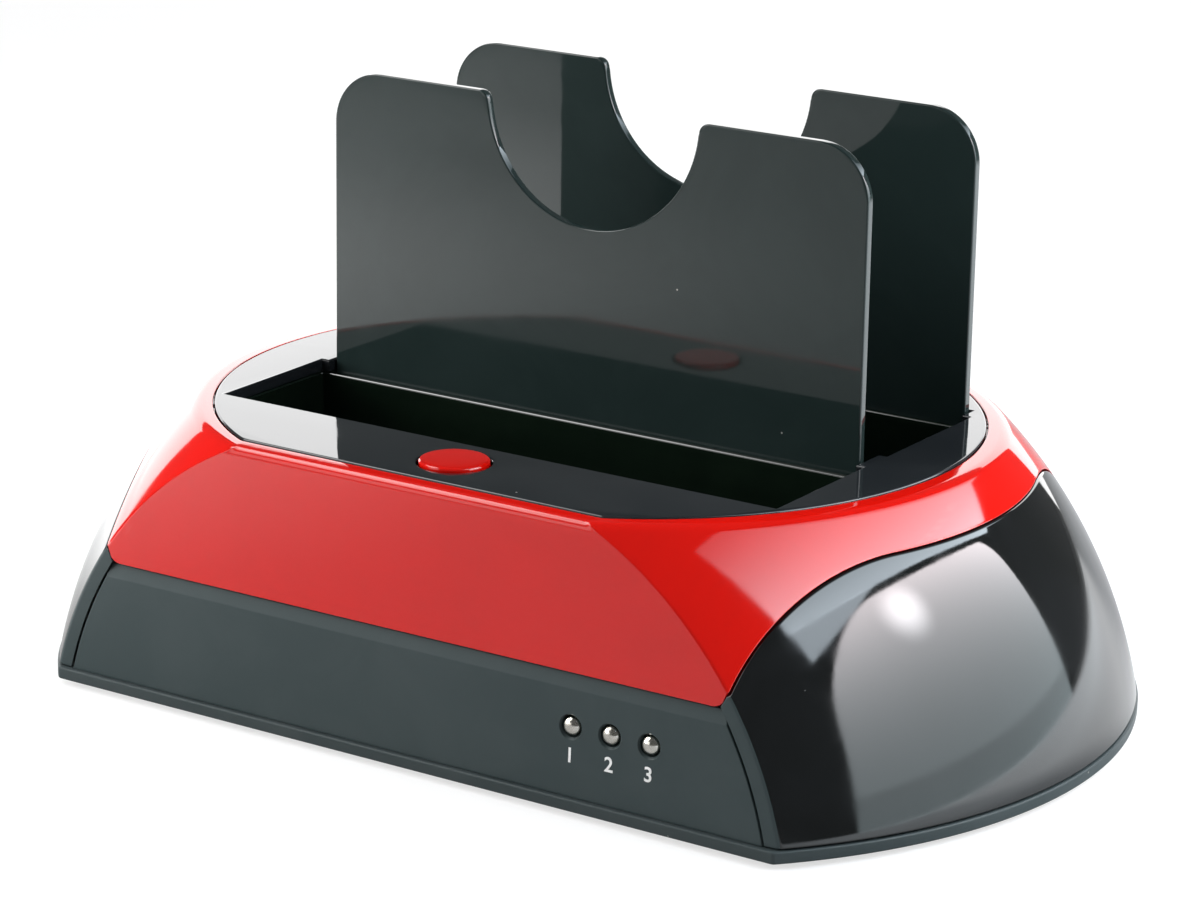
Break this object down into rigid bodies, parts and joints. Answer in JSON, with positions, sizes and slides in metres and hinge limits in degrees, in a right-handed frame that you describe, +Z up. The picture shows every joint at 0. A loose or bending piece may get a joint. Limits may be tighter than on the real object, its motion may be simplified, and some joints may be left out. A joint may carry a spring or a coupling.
{
  "type": "hard drive docking station",
  "caption": "Desktop docking station for bare hard drives: low domed housing with arched end shells, open bays with upright notched guide boards, a push button, status lights and rear sockets.",
  "frame": {"origin": "on the table under the middle of the housing, at the underside of the feet", "axes": "X along the length, the front with the lights faces -Y, Z up"},
  "size_m": [0.1808, 0.112, 0.0962],
  "materials": {
    "tray_plastic": "satin black moulded plastic",
    "foot_rubber": "matte black rubber",
    "shell_black": "piano black moulded plastic",
    "cover_red": "gloss red lacquered plastic",
    "panel_grey": "satin dark grey plastic",
    "deck_black": "piano black moulded plastic",
    "guide_black": "polished black plastic sheet",
    "button_red": "gloss red plastic",
    "light_clear": "clear moulded lens",
    "lead_tin": "tinned wire",
    "board_green": "lacquered circuit board",
    "socket_black": "black moulded plastic",
    "can_aluminium": "plain aluminium can",
    "contact_brass": "plated contact",
    "rocker_black": "gloss black plastic",
    "sheet_steel": "plated sheet steel",
    "tongue_blue": "blue moulded plastic",
    "screw_steel": "zinc plated steel"
  },
  "bodies": {
    "housing": {"base_tray": "tray_plastic", "feet": "foot_rubber", "shell_right": "shell_black", "shell_left": "shell_black", "top_cover": "cover_red", "front_panel": "panel_grey", "rear_panel": "panel_grey", "deck": "deck_black", "well_front": "deck_black", "well_rear": "deck_black", "button_board": "board_green", "button_switch": "socket_black", "button_screws": "screw_steel", "light_1": "light_clear", "light_2": "light_clear", "light_3": "light_clear", "light_leads": "lead_tin", "main_board": "board_green", "board_screws": "screw_steel", "chips": "socket_black", "capacitors": "can_aluminium", "drive_socket_front": "socket_black", "drive_socket_rear": "socket_black", "drive_contacts": "contact_brass", "power_jack": "socket_black", "jack_pin": "lead_tin", "power_switch": "socket_black", "data_socket": "sheet_steel", "hub_sockets": "sheet_steel", "socket_tongues": "tongue_blue", "card_slot": "sheet_steel", "case_screws": "screw_steel"},
    "front_board": {"guide_front": "guide_black"},
    "rear_board": {"guide_rear": "guide_black"},
    "push_button": {"button": "button_red"},
    "rocker_switch": {"rocker": "rocker_black"}
  },
  "joints": [
    {"name": "front_board_lift", "type": "slide", "parent": "housing", "child": "front_board", "axis": [0, 0, 1], "range_m": [0, 0.026]},
    {"name": "rear_board_lift", "type": "slide", "parent": "housing", "child": "rear_board", "axis": [0, 0, 1], "range_m": [0, 0.026]},
    {"name": "button_press", "type": "slide", "parent": "housing", "child": "push_button", "axis": [0, 0, -1], "range_m": [0, 0.0008], "stiffness_N_per_m": 500},
    {"name": "rocker_tip", "type": "hinge", "parent": "housing", "child": "rocker_switch", "pos_m": [0.03, 0.05273, 0.0131], "axis": [0, 0, 1], "range_deg": [-14, 0]}
  ]
}
